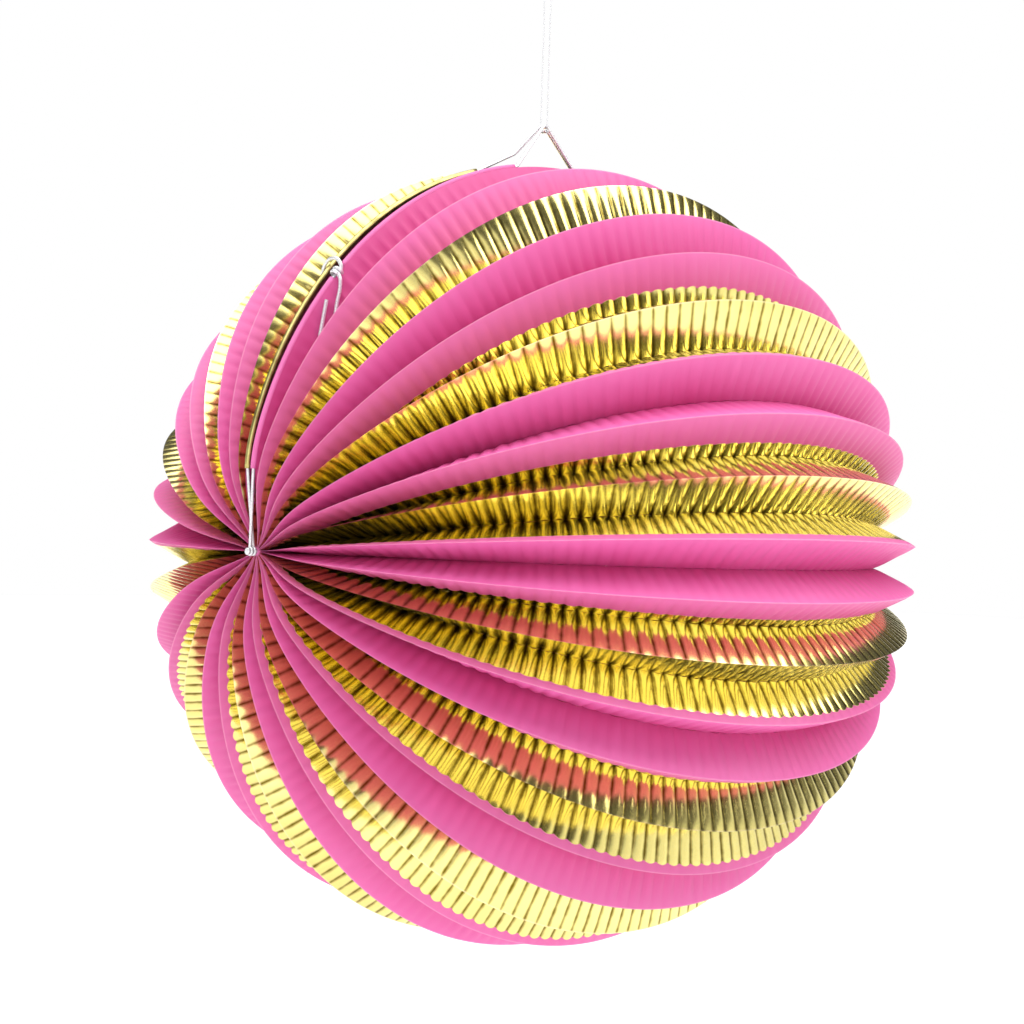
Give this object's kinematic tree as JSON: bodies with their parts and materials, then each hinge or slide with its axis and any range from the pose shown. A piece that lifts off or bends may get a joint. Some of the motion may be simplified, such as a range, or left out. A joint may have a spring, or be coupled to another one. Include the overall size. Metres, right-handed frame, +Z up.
{
  "type": "accordion paper ball lantern",
  "caption": "Round accordion paper lantern in pink and gold stripes, with a wire bow in each free edge, seam clasps, and a wire hanger on a thread.",
  "frame": {"origin": "top of the wire hanger, where the thread holds the lantern; the ball's centre is 138 mm straight below it", "axes": "+Z up; X is the fold axis through both poles, with the near pole at -X; the near free edge is on the -Y side of the seam and the far one on the +Y side"},
  "size_m": [0.233, 0.2497, 0.3118],
  "materials": {
    "pink_paper": "crimped crepe paper, matt",
    "gold_paper": "crimped foil paper, shiny gold",
    "steel_wire": "bright drawn wire",
    "clear_thread": "clear nylon"
  },
  "bodies": {
    "near_end": {"near_edge_panel": "pink_paper", "near_bow_wire": "steel_wire", "near_pole_hub": "pink_paper", "near_pole_pin": "steel_wire", "far_pole_hub": "pink_paper", "far_pole_pin": "steel_wire", "near_clasp_tie": "steel_wire", "far_clasp_tie": "steel_wire", "thread_knot": "clear_thread", "thread": "clear_thread"},
    "far_end": {"far_edge_panel": "pink_paper", "far_bow_wire": "steel_wire"},
    "pleat_01_fold": {"pleat_01": "pink_paper"},
    "pleat_02_fold": {"pleat_02": "gold_paper"},
    "pleat_03_fold": {"pleat_03": "pink_paper"},
    "pleat_04_fold": {"pleat_04": "pink_paper"},
    "pleat_05_fold": {"pleat_05": "gold_paper"},
    "pleat_06_fold": {"pleat_06": "pink_paper"},
    "pleat_07_fold": {"pleat_07": "pink_paper"},
    "pleat_08_fold": {"pleat_08": "gold_paper"},
    "pleat_09_fold": {"pleat_09": "pink_paper"},
    "pleat_10_fold": {"pleat_10": "pink_paper"},
    "pleat_11_fold": {"pleat_11": "gold_paper"},
    "pleat_12_fold": {"pleat_12": "pink_paper"},
    "pleat_13_fold": {"pleat_13": "pink_paper"},
    "pleat_14_fold": {"pleat_14": "gold_paper"},
    "pleat_15_fold": {"pleat_15": "pink_paper"},
    "pleat_16_fold": {"pleat_16": "pink_paper"},
    "pleat_17_fold": {"pleat_17": "gold_paper"},
    "pleat_18_fold": {"pleat_18": "pink_paper"},
    "pleat_19_fold": {"pleat_19": "pink_paper"},
    "pleat_20_fold": {"pleat_20": "gold_paper"},
    "pleat_21_fold": {"pleat_21": "pink_paper"},
    "pleat_22_fold": {"pleat_22": "pink_paper"},
    "pleat_23_fold": {"pleat_23": "gold_paper"},
    "pleat_24_fold": {"pleat_24": "pink_paper"},
    "pleat_25_fold": {"pleat_25": "pink_paper"},
    "pleat_26_fold": {"pleat_26": "gold_paper"},
    "pleat_27_fold": {"pleat_27": "pink_paper"},
    "pleat_28_fold": {"pleat_28": "pink_paper"},
    "pleat_29_fold": {"pleat_29": "gold_paper"},
    "pleat_30_fold": {"pleat_30": "pink_paper"},
    "pleat_31_fold": {"pleat_31": "pink_paper"},
    "pleat_32_fold": {"pleat_32": "gold_paper"},
    "pleat_33_fold": {"pleat_33": "pink_paper"},
    "pleat_34_fold": {"pleat_34": "pink_paper"},
    "pleat_35_fold": {"pleat_35": "gold_paper"},
    "near_clasp": {"near_clasp_hook": "steel_wire"},
    "far_clasp": {"far_clasp_hook": "steel_wire"}
  },
  "joints": [
    {"name": "fold", "type": "hinge", "parent": "near_end", "child": "far_end", "pos_m": [0, 0, -0.138], "axis": [-1, 0, 0], "range_deg": [0, 339], "deforming": ["far_edge_panel"]},
    {"name": "pleat_01_turn", "type": "hinge", "parent": "near_end", "child": "pleat_01_fold", "pos_m": [0, 0, -0.138], "axis": [-1, 0, 0], "range_deg": [0, 9.41], "deforming": ["pleat_01"]},
    {"name": "pleat_02_turn", "type": "hinge", "parent": "near_end", "child": "pleat_02_fold", "pos_m": [0, 0, -0.138], "axis": [-1, 0, 0], "range_deg": [0, 18.76], "deforming": ["pleat_02"]},
    {"name": "pleat_03_turn", "type": "hinge", "parent": "near_end", "child": "pleat_03_fold", "pos_m": [0, 0, -0.138], "axis": [-1, 0, 0], "range_deg": [0, 28.01], "deforming": ["pleat_03"]},
    {"name": "pleat_04_turn", "type": "hinge", "parent": "near_end", "child": "pleat_04_fold", "pos_m": [0, 0, -0.138], "axis": [-1, 0, 0], "range_deg": [0, 37.12], "deforming": ["pleat_04"]},
    {"name": "pleat_05_turn", "type": "hinge", "parent": "near_end", "child": "pleat_05_fold", "pos_m": [0, 0, -0.138], "axis": [-1, 0, 0], "range_deg": [0, 46.07], "deforming": ["pleat_05"]},
    {"name": "pleat_06_turn", "type": "hinge", "parent": "near_end", "child": "pleat_06_fold", "pos_m": [0, 0, -0.138], "axis": [-1, 0, 0], "range_deg": [0, 54.84], "deforming": ["pleat_06"]},
    {"name": "pleat_07_turn", "type": "hinge", "parent": "near_end", "child": "pleat_07_fold", "pos_m": [0, 0, -0.138], "axis": [-1, 0, 0], "range_deg": [0, 63.44], "deforming": ["pleat_07"]},
    {"name": "pleat_08_turn", "type": "hinge", "parent": "near_end", "child": "pleat_08_fold", "pos_m": [0, 0, -0.138], "axis": [-1, 0, 0], "range_deg": [0, 71.89], "deforming": ["pleat_08"]},
    {"name": "pleat_09_turn", "type": "hinge", "parent": "near_end", "child": "pleat_09_fold", "pos_m": [0, 0, -0.138], "axis": [-1, 0, 0], "range_deg": [0, 80.22], "deforming": ["pleat_09"]},
    {"name": "pleat_10_turn", "type": "hinge", "parent": "near_end", "child": "pleat_10_fold", "pos_m": [0, 0, -0.138], "axis": [-1, 0, 0], "range_deg": [0, 88.48], "deforming": ["pleat_10"]},
    {"name": "pleat_11_turn", "type": "hinge", "parent": "near_end", "child": "pleat_11_fold", "pos_m": [0, 0, -0.138], "axis": [-1, 0, 0], "range_deg": [0, 96.73], "deforming": ["pleat_11"]},
    {"name": "pleat_12_turn", "type": "hinge", "parent": "near_end", "child": "pleat_12_fold", "pos_m": [0, 0, -0.138], "axis": [-1, 0, 0], "range_deg": [0, 105.03], "deforming": ["pleat_12"]},
    {"name": "pleat_13_turn", "type": "hinge", "parent": "near_end", "child": "pleat_13_fold", "pos_m": [0, 0, -0.138], "axis": [-1, 0, 0], "range_deg": [0, 113.46], "deforming": ["pleat_13"]},
    {"name": "pleat_14_turn", "type": "hinge", "parent": "near_end", "child": "pleat_14_fold", "pos_m": [0, 0, -0.138], "axis": [-1, 0, 0], "range_deg": [0, 122.08], "deforming": ["pleat_14"]},
    {"name": "pleat_15_turn", "type": "hinge", "parent": "near_end", "child": "pleat_15_fold", "pos_m": [0, 0, -0.138], "axis": [-1, 0, 0], "range_deg": [0, 130.94], "deforming": ["pleat_15"]},
    {"name": "pleat_16_turn", "type": "hinge", "parent": "near_end", "child": "pleat_16_fold", "pos_m": [0, 0, -0.138], "axis": [-1, 0, 0], "range_deg": [0, 140.08], "deforming": ["pleat_16"]},
    {"name": "pleat_17_turn", "type": "hinge", "parent": "near_end", "child": "pleat_17_fold", "pos_m": [0, 0, -0.138], "axis": [-1, 0, 0], "range_deg": [0, 149.55], "deforming": ["pleat_17"]},
    {"name": "pleat_18_turn", "type": "hinge", "parent": "near_end", "child": "pleat_18_fold", "pos_m": [0, 0, -0.138], "axis": [-1, 0, 0], "range_deg": [0, 159.35], "deforming": ["pleat_18"]},
    {"name": "pleat_19_turn", "type": "hinge", "parent": "near_end", "child": "pleat_19_fold", "pos_m": [0, 0, -0.138], "axis": [-1, 0, 0], "range_deg": [0, 169.47], "deforming": ["pleat_19"]},
    {"name": "pleat_20_turn", "type": "hinge", "parent": "near_end", "child": "pleat_20_fold", "pos_m": [0, 0, -0.138], "axis": [-1, 0, 0], "range_deg": [0, 179.89], "deforming": ["pleat_20"]},
    {"name": "pleat_21_turn", "type": "hinge", "parent": "near_end", "child": "pleat_21_fold", "pos_m": [0, 0, -0.138], "axis": [-1, 0, 0], "range_deg": [0, 190.57], "deforming": ["pleat_21"]},
    {"name": "pleat_22_turn", "type": "hinge", "parent": "near_end", "child": "pleat_22_fold", "pos_m": [0, 0, -0.138], "axis": [-1, 0, 0], "range_deg": [0, 201.44], "deforming": ["pleat_22"]},
    {"name": "pleat_23_turn", "type": "hinge", "parent": "near_end", "child": "pleat_23_fold", "pos_m": [0, 0, -0.138], "axis": [-1, 0, 0], "range_deg": [0, 212.43], "deforming": ["pleat_23"]},
    {"name": "pleat_24_turn", "type": "hinge", "parent": "near_end", "child": "pleat_24_fold", "pos_m": [0, 0, -0.138], "axis": [-1, 0, 0], "range_deg": [0, 223.46], "deforming": ["pleat_24"]},
    {"name": "pleat_25_turn", "type": "hinge", "parent": "near_end", "child": "pleat_25_fold", "pos_m": [0, 0, -0.138], "axis": [-1, 0, 0], "range_deg": [0, 234.45], "deforming": ["pleat_25"]},
    {"name": "pleat_26_turn", "type": "hinge", "parent": "near_end", "child": "pleat_26_fold", "pos_m": [0, 0, -0.138], "axis": [-1, 0, 0], "range_deg": [0, 245.31], "deforming": ["pleat_26"]},
    {"name": "pleat_27_turn", "type": "hinge", "parent": "near_end", "child": "pleat_27_fold", "pos_m": [0, 0, -0.138], "axis": [-1, 0, 0], "range_deg": [0, 255.98], "deforming": ["pleat_27"]},
    {"name": "pleat_28_turn", "type": "hinge", "parent": "near_end", "child": "pleat_28_fold", "pos_m": [0, 0, -0.138], "axis": [-1, 0, 0], "range_deg": [0, 266.39], "deforming": ["pleat_28"]},
    {"name": "pleat_29_turn", "type": "hinge", "parent": "near_end", "child": "pleat_29_fold", "pos_m": [0, 0, -0.138], "axis": [-1, 0, 0], "range_deg": [0, 276.5], "deforming": ["pleat_29"]},
    {"name": "pleat_30_turn", "type": "hinge", "parent": "near_end", "child": "pleat_30_fold", "pos_m": [0, 0, -0.138], "axis": [-1, 0, 0], "range_deg": [0, 286.27], "deforming": ["pleat_30"]},
    {"name": "pleat_31_turn", "type": "hinge", "parent": "near_end", "child": "pleat_31_fold", "pos_m": [0, 0, -0.138], "axis": [-1, 0, 0], "range_deg": [0, 295.7], "deforming": ["pleat_31"]},
    {"name": "pleat_32_turn", "type": "hinge", "parent": "near_end", "child": "pleat_32_fold", "pos_m": [0, 0, -0.138], "axis": [-1, 0, 0], "range_deg": [0, 304.81], "deforming": ["pleat_32"]},
    {"name": "pleat_33_turn", "type": "hinge", "parent": "near_end", "child": "pleat_33_fold", "pos_m": [0, 0, -0.138], "axis": [-1, 0, 0], "range_deg": [0, 313.64], "deforming": ["pleat_33"]},
    {"name": "pleat_34_turn", "type": "hinge", "parent": "near_end", "child": "pleat_34_fold", "pos_m": [0, 0, -0.138], "axis": [-1, 0, 0], "range_deg": [0, 322.24], "deforming": ["pleat_34"]},
    {"name": "pleat_35_turn", "type": "hinge", "parent": "near_end", "child": "pleat_35_fold", "pos_m": [0, 0, -0.138], "axis": [-1, 0, 0], "range_deg": [0, 330.66], "deforming": ["pleat_35"]},
    {"name": "near_clasp_turn", "type": "hinge", "parent": "near_end", "child": "near_clasp", "pos_m": [-0.08626, -0.00256, -0.05262], "axis": [0.6742, -0.0169, 0.7383], "range_deg": [0, 60]},
    {"name": "far_clasp_turn", "type": "hinge", "parent": "near_end", "child": "far_clasp", "pos_m": [0.08626, -0.00256, -0.05262], "axis": [0.6735, 0.0169, -0.739], "range_deg": [0, 60]}
  ],
  "couplings": [
    {"joint": "pleat_01_turn", "follows": "fold", "ratio": 0.027728},
    {"joint": "pleat_02_turn", "follows": "fold", "ratio": 0.055303},
    {"joint": "pleat_03_turn", "follows": "fold", "ratio": 0.082589},
    {"joint": "pleat_04_turn", "follows": "fold", "ratio": 0.10947},
    {"joint": "pleat_05_turn", "follows": "fold", "ratio": 0.13587},
    {"joint": "pleat_06_turn", "follows": "fold", "ratio": 0.16174},
    {"joint": "pleat_07_turn", "follows": "fold", "ratio": 0.18711},
    {"joint": "pleat_08_turn", "follows": "fold", "ratio": 0.21203},
    {"joint": "pleat_09_turn", "follows": "fold", "ratio": 0.2366},
    {"joint": "pleat_10_turn", "follows": "fold", "ratio": 0.26096},
    {"joint": "pleat_11_turn", "follows": "fold", "ratio": 0.2853},
    {"joint": "pleat_12_turn", "follows": "fold", "ratio": 0.3098},
    {"joint": "pleat_13_turn", "follows": "fold", "ratio": 0.33466},
    {"joint": "pleat_14_turn", "follows": "fold", "ratio": 0.36008},
    {"joint": "pleat_15_turn", "follows": "fold", "ratio": 0.38621},
    {"joint": "pleat_16_turn", "follows": "fold", "ratio": 0.4132},
    {"joint": "pleat_17_turn", "follows": "fold", "ratio": 0.44112},
    {"joint": "pleat_18_turn", "follows": "fold", "ratio": 0.47003},
    {"joint": "pleat_19_turn", "follows": "fold", "ratio": 0.49989},
    {"joint": "pleat_20_turn", "follows": "fold", "ratio": 0.53063},
    {"joint": "pleat_21_turn", "follows": "fold", "ratio": 0.56212},
    {"joint": "pleat_22_turn", "follows": "fold", "ratio": 0.59418},
    {"joint": "pleat_23_turn", "follows": "fold", "ratio": 0.6266},
    {"joint": "pleat_24_turn", "follows": "fold", "ratio": 0.65915},
    {"joint": "pleat_25_turn", "follows": "fold", "ratio": 0.69156},
    {"joint": "pleat_26_turn", "follows": "fold", "ratio": 0.72362},
    {"joint": "pleat_27_turn", "follows": "fold", "ratio": 0.75508},
    {"joint": "pleat_28_turn", "follows": "fold", "ratio": 0.78579},
    {"joint": "pleat_29_turn", "follows": "fold", "ratio": 0.81559},
    {"joint": "pleat_30_turn", "follows": "fold", "ratio": 0.84442},
    {"joint": "pleat_31_turn", "follows": "fold", "ratio": 0.87225},
    {"joint": "pleat_32_turn", "follows": "fold", "ratio": 0.89913},
    {"joint": "pleat_33_turn", "follows": "fold", "ratio": 0.92517},
    {"joint": "pleat_34_turn", "follows": "fold", "ratio": 0.95051},
    {"joint": "pleat_35_turn", "follows": "fold", "ratio": 0.97538}
  ]
}
